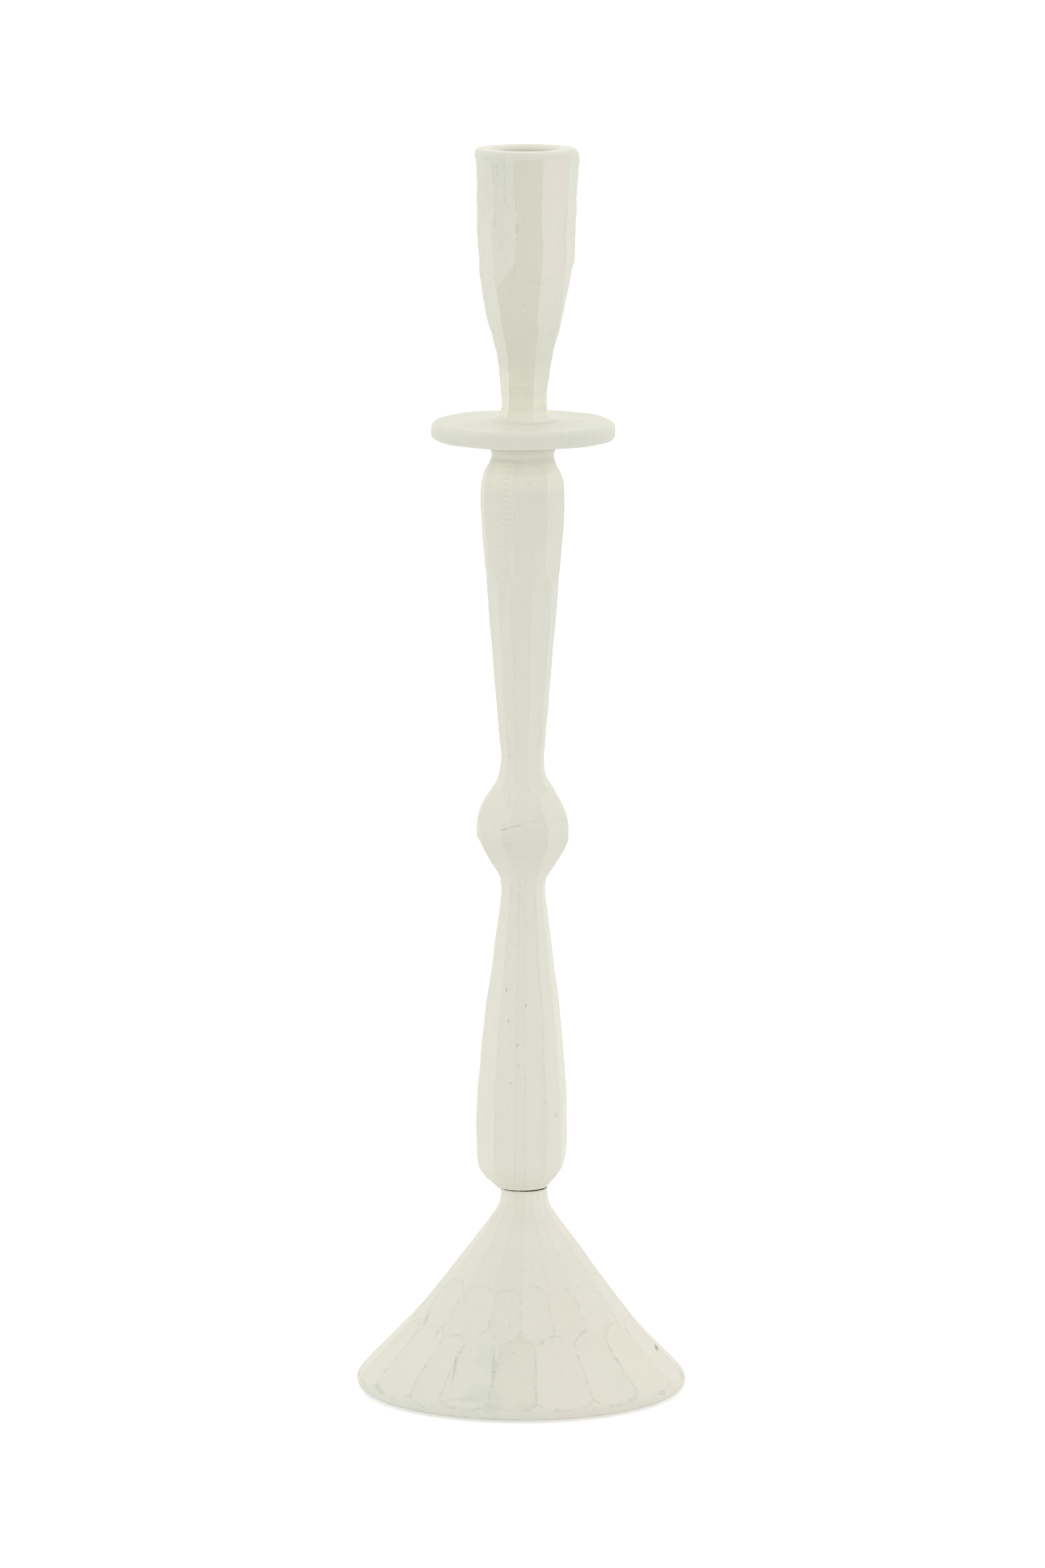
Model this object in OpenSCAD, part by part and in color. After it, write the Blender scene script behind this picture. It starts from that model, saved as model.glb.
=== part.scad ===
// Hand-carved wooden candlestick, painted.
// A cone base has a threaded insert in its neck. A carved stem screws into it on a steel stud.
// A wooden dowel holds the drip pan and the candle cup on top of the stem.
// Millimetres, +Z up, origin on the table under the centre of the base.

/* [Base] */
// Widest radius of the base, just above its foot
base_r = 60.9; // [54:0.1:66]
// Height of the base, from the table to the seam under the stem
base_h = 75.5; // [72:0.5:84]
// Radius of the neck at the top of the base
base_neck_r = 8.5; // [8:0.1:10]
// Height of the rounded rim round the foot
rim_h = 4.5; // [3:0.5:6]
// Thickness of the felt under the base
felt_t = 1.8; // [1:0.1:3]
// How far the felt stops short of the edge of the base
felt_inset = 7; // [5:0.5:16]

/* [Stem] */
// Length of the stem, from the seam to the underside of the drip pan
stem_h = 278.9; // [270:0.1:300]
// Radius of the flat foot that stands on the base's neck
foot_r = 9.9; // [9:0.1:11]
// Radius of the belly, the thickest stretch below the bead
belly_r = 16.7; // [14:0.1:19]
// Radius of the waists below and above the bead
waist_r = 8.2; // [7.5:0.1:9.5]
// Radius of the bead
bead_r = 17.1; // [15:0.1:20]
// Radius of the shoulder under the drip pan
shoulder_r = 15.6; // [14:0.1:18]
// Knife-cut sides round the stem
stem_sides = 10; // [7:1:12]

/* [Drip pan] */
// Radius of the drip pan
pan_r = 33.7; // [26:0.1:40]
// Thickness of the drip pan at its edge
pan_t = 6.4; // [5:0.1:9]
// Depth of the shallow dish in its top
pan_dish = 0.7; // [0.3:0.1:1.2]
// How far the pan sits off the stem's axis, to +X
pan_shift = 0.6; // [0:0.1:1]

/* [Candle cup] */
// Height of the cup above the drip pan
cup_h = 99.2; // [92:0.1:120]
// Radius of the cup at its rim
cup_r = 19; // [17:0.1:22]
// Radius of the bore that takes the candle
bore_r = 11.25; // [10:0.05:12]
// Straight depth of that bore
bore_depth = 25; // [18:1:36]
// Knife-cut sides round the cup
cup_sides = 11; // [7:1:12]
// How far the cup sits off the stem's axis, to +X
cup_shift = 1.5; // [0:0.1:1.5]

/* [Joints] */
// Radius of the stud that joins stem and base
stud_r = 3; // [2.5:0.5:3]
// Length of stud that screws into the base
stud_low = 18; // [12:1:20]
// Length of stud that stands in the stem
stud_high = 24; // [18:1:30]
// Outer radius of the threaded insert in the base
insert_r = 5; // [4.5:0.5:5]
// Radius of the dowel through the drip pan
dowel_r = 4; // [3:0.5:4]

/* [Hidden] */
round_fn = 96;
eps = 0.01;

seam_z = base_h;
pan_z = seam_z + stem_h;
cup_z = pan_z + pan_t;

// The felt sits in a shallow recess and stands this far proud of the base
felt_proud = 0.8;
// Room round the felt in its recess
felt_room = 0.5;
// Room round the tip of the stud below the insert
tip_room = 0.5;
// Play between the stud and the holes that it turns in
thread_play = 0.05;
// Length of the stud's chamfered tip and of its wood-screw point
stud_chamfer = 1;
stud_point = 2;
// The insert lies this far below the top of the neck, and is shorter than the stud by its tip
insert_sunk = 0.5;
insert_h = stud_low - stud_point;
// Room left past the ends of the stud and the dowel
end_gap = 1;
// How far the dowel reaches into the stem and into the cup
dowel_low = 16;
dowel_high = 13;
// Chamfer at the mouth of the candle bore
lip = 1.2;

// Points of a smooth curve through the stations of an outline, each one [radius, height]
function blend_point(a, b, slope_a, slope_b, t) =
    (2 * t ^ 3 - 3 * t ^ 2 + 1) * a + (t ^ 3 - 2 * t ^ 2 + t) * slope_a
    + (3 * t ^ 2 - 2 * t ^ 3) * b + (t ^ 3 - t ^ 2) * slope_b;
function station(p, i) = p[max(0, min(len(p) - 1, i))];
function slope(p, i) = (station(p, i + 1) - station(p, i - 1)) / 2;
function smooth(p, steps = 3) = concat(
    [for (i = [0 : len(p) - 2], k = [0 : steps - 1])
        blend_point(p[i], p[i + 1], slope(p, i), slope(p, i + 1), k / steps)],
    [p[len(p) - 1]]);
function arc(centre, r, from, to, steps = 8) =
    [for (k = [0 : steps]) let (a = from + (to - from) * k / steps) centre + r * [cos(a), sin(a)]];

// A solid turned from an outline that is closed on the axis
module turned(outline, sides = round_fn) {
    foot = outline[0];
    head = outline[len(outline) - 1];
    rotate_extrude($fn = sides) polygon(concat([[0, foot.y]], outline, [[0, head.y]]));
}

// An upright round bar between two heights, which is a bore where it is taken away
module bar(r, from, to) {
    translate([0, 0, from]) cylinder(r = r, h = to - from, $fn = round_fn);
}

// The base from its foot up: rounded rim, steep skirt, straight cone, hollow curve to the neck
function base_outline() = let (round_r = rim_h / 2, round_z = felt_proud + round_r) concat(
    [[base_r - round_r, felt_proud]],
    arc([base_r - round_r, round_z], round_r, -60, 45),
    [
        [base_r - 5, 10],
        [base_r * 0.723, base_h * 0.3],
        [base_neck_r + 6.5, base_h - 14.8]
    ],
    smooth([
        [base_neck_r + 4.1, base_h - 11.6],
        [base_neck_r + 1.8, base_h - 8.3],
        [base_neck_r + 0.4, base_h - 5.2],
        [base_neck_r, base_h - 2.2],
        [base_neck_r + 0.1, base_h]]));

// The stem from its foot up: belly, waist, bead, waist, long taper, shoulder, neck
function stem_outline() = smooth([
    [foot_r, 0],
    [belly_r - 3.4, 4],
    [belly_r - 0.8, 8.5],
    [belly_r - 0.2, 13],
    [belly_r, 31],
    [belly_r - 1.1, 46],
    [belly_r - 2.8, 66],
    [waist_r + 3.2, 85],
    [waist_r + 0.9, 103],
    [waist_r, 111.5],
    [waist_r + 0.5, 116],
    [waist_r + 2.1, 119.5],
    [bead_r - 3.7, 124.5],
    [bead_r - 0.8, 130],
    [bead_r, 137.5],
    [bead_r - 1.4, 143],
    [bead_r - 4.4, 148],
    [waist_r + 1.7, 152],
    [waist_r + 0.3, 156],
    [waist_r - 0.1, 161.5],
    [waist_r + 0.4, 167],
    [waist_r + 2.5, 192],
    [shoulder_r - 2.4, 222],
    [shoulder_r - 0.8, 242],
    [shoulder_r, stem_h - 23.4],
    [shoulder_r - 0.3, stem_h - 17],
    [shoulder_r - 1.4, stem_h - 13],
    [shoulder_r - 3.3, stem_h - 9.4],
    [shoulder_r - 4.2, stem_h - 6.6],
    [shoulder_r - 3.4, stem_h - 3.4],
    [shoulder_r - 2.4, stem_h]]);

// The pan: flat underside, round edge, shallow dish that rises again under the cup
function pan_outline() = let (edge_r = pan_t * 0.42) concat(
    [[dowel_r, 0]],
    arc([pan_r - edge_r, edge_r], edge_r, -90, 0),
    arc([pan_r - edge_r, pan_t - edge_r], edge_r, 0, 90),
    [
        [pan_r * 0.72, pan_t - pan_dish],
        [cup_r - 8.6, pan_t],
        [dowel_r, pan_t]
    ]);

// The cup from its foot up: flared foot, slim neck, long swelling bowl, rim
function cup_outline() = smooth([
    [cup_r - 8.6, 0],
    [cup_r - 10, 1.5],
    [cup_r - 10.7, 4],
    [cup_r - 10.9, 8],
    [cup_r - 10.3, 13],
    [cup_r - 9.6, 19],
    [cup_r - 8.7, 25],
    [cup_r - 7, 31],
    [cup_r - 5.4, 37],
    [cup_r - 4.1, 43],
    [cup_r - 2.7, 50],
    [cup_r - 1.7, 60],
    [cup_r - 1, 72],
    [cup_r - 0.5, 85],
    [cup_r, cup_h - 2],
    [cup_r - 0.8, cup_h]]);

module base() {
    color("ivory") difference() {
        turned(base_outline());
        bar(base_r - felt_inset + felt_room, 0, felt_t);
        bar(insert_r, seam_z - insert_sunk - insert_h, seam_z + eps);
        bar(stud_r + tip_room, seam_z - stud_low - end_gap, seam_z);
    }
}

module felt_pad() {
    color("dimgray") bar(base_r - felt_inset, 0, felt_t);
}

module threaded_insert() {
    top_z = seam_z - insert_sunk;
    color("goldenrod") difference() {
        bar(insert_r, top_z - insert_h, top_z);
        bar(stud_r + thread_play, top_z - insert_h - eps, top_z + eps);
    }
}

// A hanger bolt: machine thread with a chamfered tip below, wood screw with a point above
module stud() {
    low_z = seam_z - stud_low;
    high_z = seam_z + stud_high;
    color("silver") {
        translate([0, 0, low_z])
            cylinder(r1 = stud_r - stud_chamfer, r2 = stud_r, h = stud_chamfer, $fn = round_fn);
        bar(stud_r, low_z + stud_chamfer, high_z - stud_point);
        translate([0, 0, high_z - stud_point])
            cylinder(r1 = stud_r, r2 = stud_r / 3, h = stud_point, $fn = round_fn);
    }
}

module stem() {
    color("ivory") difference() {
        translate([0, 0, seam_z]) turned(stem_outline(), stem_sides);
        bar(stud_r + thread_play, seam_z - eps, seam_z + stud_high + end_gap);
        translate([pan_shift, 0, 0]) bar(dowel_r, pan_z - dowel_low - end_gap, pan_z + eps);
    }
}

module drip_pan() {
    color("ivory") translate([pan_shift, 0, pan_z])
        rotate_extrude($fn = round_fn) polygon(pan_outline());
}

module candle_cup() {
    rim_z = cup_z + cup_h;
    color("ivory") difference() {
        translate([cup_shift, 0, cup_z]) turned(cup_outline(), cup_sides);
        translate([cup_shift, 0, 0]) {
            bar(bore_r, rim_z - lip - bore_depth, rim_z + eps);
            translate([0, 0, rim_z - lip])
                cylinder(r1 = bore_r, r2 = bore_r + lip, h = lip + eps, $fn = round_fn);
        }
        translate([pan_shift, 0, 0]) bar(dowel_r, cup_z - eps, cup_z + dowel_high + end_gap);
    }
}

module dowel() {
    color("burlywood") translate([pan_shift, 0, 0])
        bar(dowel_r, pan_z - dowel_low, cup_z + dowel_high);
}

base();
felt_pad();
threaded_insert();
stud();
stem();
drip_pan();
candle_cup();
dowel();
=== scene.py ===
"""A hand-carved, painted wooden candlestick, dressed around its CAD frame.

Every piece of wood starts as a turned blank. Rows of knife cuts then take it down to its facets, as
a carver would, and the finish reads how far each spot lies from the nearest ridge between two cuts.
Sizes are in millimetres until a mesh is made, with +Z up and the front towards -Y.
"""
import logging
import math
import random
from collections.abc import Callable, Sequence
from dataclasses import dataclass, field
from enum import Enum

import bmesh
import bpy
import numpy as np
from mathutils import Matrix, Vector


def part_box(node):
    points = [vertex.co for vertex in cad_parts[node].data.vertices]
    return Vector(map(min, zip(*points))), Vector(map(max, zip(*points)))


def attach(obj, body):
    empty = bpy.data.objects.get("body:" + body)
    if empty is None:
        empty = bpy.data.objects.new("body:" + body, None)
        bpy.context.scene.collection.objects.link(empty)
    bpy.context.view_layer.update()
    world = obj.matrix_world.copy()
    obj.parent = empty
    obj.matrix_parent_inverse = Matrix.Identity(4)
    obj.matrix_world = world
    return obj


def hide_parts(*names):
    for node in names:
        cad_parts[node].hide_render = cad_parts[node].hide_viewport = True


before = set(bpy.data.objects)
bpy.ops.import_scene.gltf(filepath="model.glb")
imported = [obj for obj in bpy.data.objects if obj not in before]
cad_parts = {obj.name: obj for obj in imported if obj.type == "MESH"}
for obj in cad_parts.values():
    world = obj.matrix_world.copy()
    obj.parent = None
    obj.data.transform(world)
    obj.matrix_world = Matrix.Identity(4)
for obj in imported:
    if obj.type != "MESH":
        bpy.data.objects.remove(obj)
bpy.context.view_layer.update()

MM = 0.001
# Points nearer the axis than this are made one point
POLE = 1e-4
# Stands for the distance to a ridge where there is none, in millimetres
FAR = 9.0
log = logging.getLogger("candlestick")


# ---------------------------------------------------------------- carving


@dataclass(frozen=True)
class Curve:
    """A smooth curve through a few stations, each a height and a value there, in millimetres."""

    stations: tuple[tuple[float, float], ...]

    def at(self, height: np.ndarray) -> np.ndarray:
        """Value of the curve at each height.

        Args:
            height: heights in millimetres.

        Returns:
            The values, with no overshoot between two stations.
        """
        h, v = np.array(self.stations, dtype=float).T
        if len(h) == 1:
            return np.full_like(height, v[0], dtype=float)
        step = np.diff(h)
        rise = np.diff(v) / step
        slope = np.zeros_like(v)
        slope[0], slope[-1] = rise[0], rise[-1]
        both = rise[:-1] * rise[1:]
        mean = np.where(both > 0, rise[:-1] + rise[1:], 1.0)
        slope[1:-1] = np.where(both > 0, 2 * both / mean, 0.0)
        i = np.clip(np.searchsorted(h, height) - 1, 0, len(h) - 2)
        t = np.clip((height - h[i]) / step[i], 0, 1)
        a, b = slope[i] * step[i], slope[i + 1] * step[i]
        return (
            v[i] * (2 * t**3 - 3 * t**2 + 1)
            + v[i + 1] * (3 * t**2 - 2 * t**3)
            + a * (t**3 - 2 * t**2 + t)
            + b * (t**3 - t**2)
        )


@dataclass(frozen=True)
class Ring:
    """A plain turned ring of a blank: its radius, its height and how far its centre is off the axis."""

    radius: float
    height: float
    shift: float = 0.0


@dataclass(frozen=True)
class CutRow:
    """One row of knife cuts round a piece.

    Attributes:
        top: height of the row's upper edge, where two cuts meet.
        cuts: cuts round the piece, or 0 for a row that is left round.
        ridges: ridges between cuts that are given one by one, in degrees from the front towards +X.
        arch: how much higher each cut starts in its middle.
        dip: how much lower each cut ends in its middle.
        hollow: depth that the gouge leaves in a cut, beyond a flat one.
        flat: 1 for a cut that is straight from end to end, 0 for one that follows the outline.
        soft: 1 for ridges that are sanded away, 0 for crisp ones.
        run_out: share of the cut over which the tool leaves the wood at its top.
        uneven: how much one cut differs from the next in depth.
        line: how strongly the fine line shows round each cut of this row.
        tones: tones of the cuts that start at the given ridges, 0 dark to 1 light, partly the paint's own
            tone and partly painted shade of facets facing different ways.
    """

    top: float
    cuts: int = 0
    ridges: tuple[float, ...] = ()
    arch: float = 0.0
    dip: float = 0.0
    hollow: float = 0.0
    flat: float = 0.0
    soft: float = 0.0
    run_out: float = 0.2
    uneven: float = 0.0
    line: float = 1.0
    tones: tuple[float, ...] = ()


class CutLayout:
    """Where the cuts of one row lie, column by column round the mesh."""

    def __init__(self, row: CutRow, columns: int, dice: random.Random) -> None:
        """Shares the columns out among the row's cuts.

        Args:
            row: the row of cuts.
            columns: mesh columns round the piece.
            dice: source of the small differences between cuts.
        """
        self.row = row
        self.turn = 2 * math.pi / columns
        self.number = np.zeros(columns, dtype=int)
        self.across = np.full(columns, 0.5)
        self.chord = np.ones(columns)
        self.to_ridge = np.full(columns, math.pi)
        self.tone = np.full(columns, 0.5)
        self.depth = np.zeros(columns)
        self.lift = np.zeros(columns)
        if not row.cuts:
            return
        starts = self.ridge_columns(columns, dice)
        for k, start in enumerate(starts):
            end = starts[(k + 1) % len(starts)] + (columns if k + 1 == len(starts) else 0)
            span = end - start
            half = span * self.turn / 2
            index = np.arange(start, end)
            angle = (index - start) * self.turn - half
            where = index % columns
            self.number[where] = k
            self.across[where] = (index - start) / span
            self.chord[where] = math.cos(half) / np.cos(angle)
            self.to_ridge[where] = half - np.abs(angle)
            given = self.given_tone(k, starts, columns)
            self.tone[where] = dice.uniform(0.15, 0.85) if given is None else given
            self.depth[where] = row.uneven * dice.uniform(-1, 1)
            self.lift[where] = dice.uniform(-0.25, 0.25)

    def ridge_columns(self, columns: int, dice: random.Random) -> list[int]:
        """Mesh columns that the ridges run down.

        Args:
            columns: mesh columns round the piece.
            dice: source of the small differences between cuts.

        Returns:
            The given ridges, then the others, spaced nearly evenly round the back.
        """
        seen = list(self.row.ridges) or [dice.uniform(0, 360 / self.row.cuts)]
        hidden = self.row.cuts - len(seen)
        gap = (seen[0] + 360 - seen[-1]) / (hidden + 1)
        seen += [seen[-1] + gap * (k + 1 + dice.uniform(-0.13, 0.13)) for k in range(hidden)]
        return sorted(round(a / 360 * columns) % columns for a in seen)

    def given_tone(self, cut: int, starts: list[int], columns: int) -> float | None:
        """Tone given for a cut, if it has one.

        Args:
            cut: number of the cut.
            starts: mesh columns of the ridges.
            columns: mesh columns round the piece.

        Returns:
            The tone, or None.
        """
        for ridge, tone in zip(self.row.ridges, self.row.tones):
            if round(ridge / 360 * columns) % columns == starts[cut]:
                return tone
        return None

    def bowed(self) -> np.ndarray:
        """How far each column is into its cut: 0 on a ridge and 1 in the middle."""
        return 1 - np.abs(2 * self.across - 1) ** 2.5 if self.row.cuts else np.zeros_like(self.across)

    def sunk(self, radius: np.ndarray, column: np.ndarray) -> np.ndarray:
        """Depth that a flat cut takes off a round blank.

        Args:
            radius: radius of the blank at each vertex.
            column: mesh column of each vertex.

        Returns:
            The depth below the blank at each vertex.
        """
        return radius * (1 - self.chord[column]) * (1 - self.row.soft)


@dataclass
class Carving:
    """A turned blank that rows of knife cuts take down to its facets.

    Attributes:
        outline: radius of the blank against height.
        foot: height at which the first row starts.
        rows: rows of cuts, from the foot up.
        below: plain rings that close the blank under its foot, starting on the axis.
        above: plain rings that close it over its top, ending on the axis.
        lean: how far the carved part's centre is off the axis, against height.
        columns: mesh columns round the piece.
        pitch: height of one mesh row.
        wobble: size of the slow unevenness of the surface.
        wander: how far the ridges wander round the piece, in degrees.
        seed: picks the small differences.
    """

    outline: Curve
    foot: float
    rows: tuple[CutRow, ...]
    below: tuple[Ring, ...]
    above: tuple[Ring, ...]
    lean: Curve = Curve(((0, 0.0),))
    columns: int = 160
    pitch: float = 0.62
    wobble: float = 0.12
    wander: float = 1.2
    seed: int = 1
    layouts: list[CutLayout] = field(default_factory=list)

    def build(self, name: str) -> bpy.types.Object:
        """Turns the blank, carves it and records how far each corner lies from a ridge.

        Args:
            name: name of the new object.

        Returns:
            The carved piece, in metres.
        """
        dice = random.Random(self.seed)
        self.layouts = [CutLayout(row, self.columns, dice) for row in self.rows]
        band, share = self.mesh_rows()
        first = len(self.below)
        last = first + len(band)
        tops = np.array([self.foot] + [row.top for row in self.rows])
        heights = tops[band] * (1 - share) + tops[band + 1] * share
        chain = [(r.radius, r.height) for r in self.below]
        chain += list(zip(self.outline.at(heights), heights))
        chain += [(r.radius, r.height) for r in self.above]
        mesh = spun(name, chain, self.columns)
        count = len(mesh.vertices)
        place = np.empty(count * 3)
        mesh.vertices.foreach_get("co", place)
        place = place.reshape(-1, 3)
        station = np.empty(count, dtype=int)
        mesh.attributes["station"].data.foreach_get("value", station)
        angle = np.arctan2(place[:, 0], -place[:, 1]) % (2 * math.pi)
        column = np.rint(angle / (2 * math.pi) * self.columns).astype(int) % self.columns
        carved = (station >= first) & (station < last)
        at, on = station[carved] - first, column[carved]
        edges = self.row_edges()
        radius, height = self.carve(band[at], share[at], on, edges)
        turn = angle[carved] + self.strayed(angle[carved], height)
        shift = self.lean.at(height)
        place[carved] = np.stack(
            [shift + radius * np.sin(turn), -radius * np.cos(turn), height], axis=1
        )
        rings = list(self.below) + [None] * len(band) + list(self.above)
        for k, ring in enumerate(rings):
            if ring is not None:
                place[station == k, 0] += ring.shift
        mesh.vertices.foreach_set("co", (place * MM).ravel())
        self.mark_ridges(mesh, station, column, band, edges, place)
        return finished(mesh)

    def mesh_rows(self) -> tuple[np.ndarray, np.ndarray]:
        """Spreads mesh rows over the rows of cuts.

        Returns:
            The row of cuts that each mesh row is in, and its share of the way up that row.
        """
        band, share, low = [], [], self.foot
        for j, row in enumerate(self.rows):
            count = max(2, round((row.top - low) / self.pitch))
            band += [j] * count
            share += [k / count for k in range(count)]
            low = row.top
        return np.array(band + [len(self.rows) - 1]), np.array(share + [1.0])

    def row_edges(self) -> np.ndarray:
        """Height of each edge between two rows of cuts.

        Returns:
            One row of heights for each edge, with a height for every mesh column.
        """
        edges = [np.full(self.columns, self.foot)]
        for row, layout, over in zip(self.rows, self.layouts, [*self.layouts[1:], None]):
            edge = row.top + layout.bowed() * row.arch * (1 + layout.lift)
            if over is not None:
                edge = edge - over.bowed() * over.row.dip
            edges.append(edge)
        return np.array(edges)

    def carve(
        self, band: np.ndarray, share: np.ndarray, column: np.ndarray, edges: np.ndarray
    ) -> tuple[np.ndarray, np.ndarray]:
        """Works out the carved surface.

        Args:
            band: row of cuts that each vertex is in.
            share: its share of the way up that row.
            column: its mesh column.
            edges: heights of the rows' edges.

        Returns:
            Radius and height of each vertex.
        """
        low, high = edges[band, column], edges[band + 1, column]
        height = low + (high - low) * share
        follow = self.outline.at(height)
        straight = self.outline.at(low) * (1 - share) + self.outline.at(high) * share
        radius, depth = np.empty_like(height), np.empty_like(height)
        for j, (row, layout) in enumerate(zip(self.rows, self.layouts)):
            here = band == j
            at, on = share[here], column[here]
            radius[here] = follow[here] * (1 - row.flat) + straight[here] * row.flat
            own = layout.sunk(radius[here], on)
            scoop = layout.bowed()[on] * row.hollow + layout.depth[on]
            own = own + scoop * (1 - np.abs(2 * at - 1) ** 5)
            over = self.layouts[j + 1] if j + 1 < len(self.rows) else None
            next_depth = over.sunk(radius[here], on) if over else np.zeros_like(at)
            leave = np.clip((at - 1 + row.run_out) / row.run_out, 0, 1) ** 1.6
            depth[here] = own * (1 - leave) + next_depth * leave
        angle = column * 2 * math.pi / self.columns
        return radius - depth + self.unevenness(angle, height), height

    def waves(
        self,
        seed: int,
        count: int,
        lobes: int,
        length: tuple[float, float],
        angle: np.ndarray,
        height: np.ndarray,
    ) -> np.ndarray:
        """Mean of several slow waves that run round the piece and up it.

        Args:
            seed: picks the waves, with the piece's own seed.
            count: number of waves.
            lobes: most crests round the piece.
            length: shortest and longest wave up the piece, in millimetres.
            angle: angle of each vertex round the axis.
            height: its height.

        Returns:
            The mean at each vertex, from -1 to 1.
        """
        dice = random.Random(self.seed + seed)
        total = np.zeros_like(height)
        for _ in range(count):
            crests, wave = dice.randint(1, lobes), dice.uniform(*length)
            start = dice.uniform(0, 2 * math.pi)
            total += np.sin(crests * angle + height * 2 * math.pi / wave + start)
        return total / count

    def unevenness(self, angle: np.ndarray, height: np.ndarray) -> np.ndarray:
        """Slow waves that a knife leaves, in millimetres."""
        return self.waves(100, 9, 6, (6, 34), angle, height) * 1.8 * self.wobble

    def strayed(self, angle: np.ndarray, height: np.ndarray) -> np.ndarray:
        """How far the ridges stray round the piece, in radians."""
        return math.radians(self.wander) * self.waves(200, 5, 4, (14, 60), angle, height)

    def mark_ridges(
        self,
        mesh: bpy.types.Mesh,
        station: np.ndarray,
        column: np.ndarray,
        band: np.ndarray,
        edges: np.ndarray,
        place: np.ndarray,
    ) -> None:
        """Stores with each corner its distance from a ridge and from a row's end, and its cut's tone.

        Args:
            mesh: the carved mesh.
            station: ring number of each vertex.
            column: mesh column of each vertex.
            band: row of cuts of each mesh row.
            edges: heights of the rows' edges.
            place: vertices in millimetres.
        """
        loops = np.empty(len(mesh.loops), dtype=int)
        mesh.loops.foreach_get("vertex_index", loops)
        starts = np.empty(len(mesh.polygons), dtype=int)
        mesh.polygons.foreach_get("loop_start", starts)
        totals = np.empty(len(mesh.polygons), dtype=int)
        mesh.polygons.foreach_get("loop_total", totals)
        first = len(self.below)
        face = np.repeat(np.arange(len(starts)), totals)
        lowest = np.minimum.reduceat(station[loops], starts)[face] - first
        inside = (lowest >= 0) & (lowest < len(band) - 1)
        corner_col = column[loops]
        low_col = np.minimum.reduceat(corner_col, starts)
        high_col = np.maximum.reduceat(corner_col, starts)
        face_col = np.where(high_col - low_col > 1, high_col, low_col)[face]
        row = band[np.clip(lowest, 0, len(band) - 2)]
        ridge = np.array([x.to_ridge for x in self.layouts])[row, corner_col]
        tone = np.array([x.tone for x in self.layouts])[row, face_col]
        spot = place[loops]
        ridge = ridge * np.hypot(spot[:, 0], spot[:, 1])
        ends = np.stack([spot[:, 2] - edges[row, corner_col], edges[row + 1, corner_col] - spot[:, 2]])
        data = np.stack([ridge, np.abs(ends).min(axis=0), tone], axis=1)
        data[~inside] = (FAR, FAR, 0.5)
        layer = mesh.attributes.new("cut", "FLOAT_VECTOR", "CORNER")
        layer.data.foreach_set("vector", data.ravel())
        strength = np.array([x.line for x in self.rows])[row] * inside
        layer = mesh.attributes.new("line", "FLOAT", "CORNER")
        layer.data.foreach_set("value", strength.ravel())


def spun(name: str, chain: Sequence[tuple[float, float]], columns: int) -> bpy.types.Mesh:
    """Spins an outline once round the axis into a closed mesh.

    Args:
        name: name of the mesh.
        chain: radius and height of each ring. It starts and ends on the axis, or for a tube, at one point.
        columns: mesh columns round the piece.

    Returns:
        The mesh, in the outline's own units, with each vertex's place in the chain as "station".
    """
    bm = bmesh.new()
    station = bm.verts.layers.int.new("station")
    tube = chain[0] == chain[-1]
    line = []
    for k, (radius, height) in enumerate(chain[:-1] if tube else chain):
        vert = bm.verts.new((0.0, -radius, height))
        vert[station] = k
        line.append(vert)
    edges = [bm.edges.new(pair) for pair in zip(line, [*line[1:], line[0]] if tube else line[1:])]
    bmesh.ops.spin(
        bm,
        geom=[*line, *edges],
        cent=(0, 0, 0),
        axis=(0, 0, 1),
        angle=2 * math.pi,
        steps=columns,
        use_merge=True,
    )
    poles = [v for v in bm.verts if v.co.xy.length < POLE]
    bmesh.ops.remove_doubles(bm, verts=poles, dist=POLE)
    bmesh.ops.recalc_face_normals(bm, faces=bm.faces)
    mesh = bpy.data.meshes.new(name)
    bm.to_mesh(mesh)
    bm.free()
    return mesh


def finished(mesh: bpy.types.Mesh, crease: float = 50.0) -> bpy.types.Object:
    """Makes an object of a mesh, smooth but for its sharp corners.

    Args:
        mesh: the piece's mesh, in metres.
        crease: angle in degrees past which an edge stays sharp.

    Returns:
        The new object, at the origin.
    """
    piece = bpy.data.objects.new(mesh.name, mesh)
    bpy.context.scene.collection.objects.link(piece)
    mesh.shade_smooth()
    mesh.set_sharp_from_angle(angle=math.radians(crease))
    return piece


def reshape(mesh: bpy.types.Mesh, move: Callable[[np.ndarray], np.ndarray]) -> None:
    """Moves every vertex of a mesh.

    Args:
        mesh: the mesh to change.
        move: takes the vertices, one a row, and returns their new places.
    """
    place = np.empty(len(mesh.vertices) * 3)
    mesh.vertices.foreach_get("co", place)
    mesh.vertices.foreach_set("co", move(place.reshape(-1, 3)).ravel())


def dense(chain: Sequence[tuple[float, float]], pitch: float) -> list[tuple[float, float]]:
    """Adds points to an outline so that none are further apart than the pitch.

    Args:
        chain: radius and height of each point.
        pitch: greatest distance between two points.

    Returns:
        The outline with its added points.
    """
    full = [chain[0]]
    for (r0, z0), (r1, z1) in zip(chain, chain[1:]):
        count = max(1, math.ceil(math.hypot(r1 - r0, z1 - z0) / pitch))
        for k in range(1, count + 1):
            full.append((r0 + (r1 - r0) * k / count, z0 + (z1 - z0) * k / count))
    return full


def arc(
    centre: tuple[float, float], radius: float, start: float, end: float, steps: int
) -> list[tuple[float, float]]:
    """Points of an arc in an outline, from one angle to another, in degrees."""
    angles = [math.radians(start + (end - start) * k / steps) for k in range(steps + 1)]
    return [(centre[0] + radius * math.cos(a), centre[1] + radius * math.sin(a)) for a in angles]


# ---------------------------------------------------------------- finishes


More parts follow.
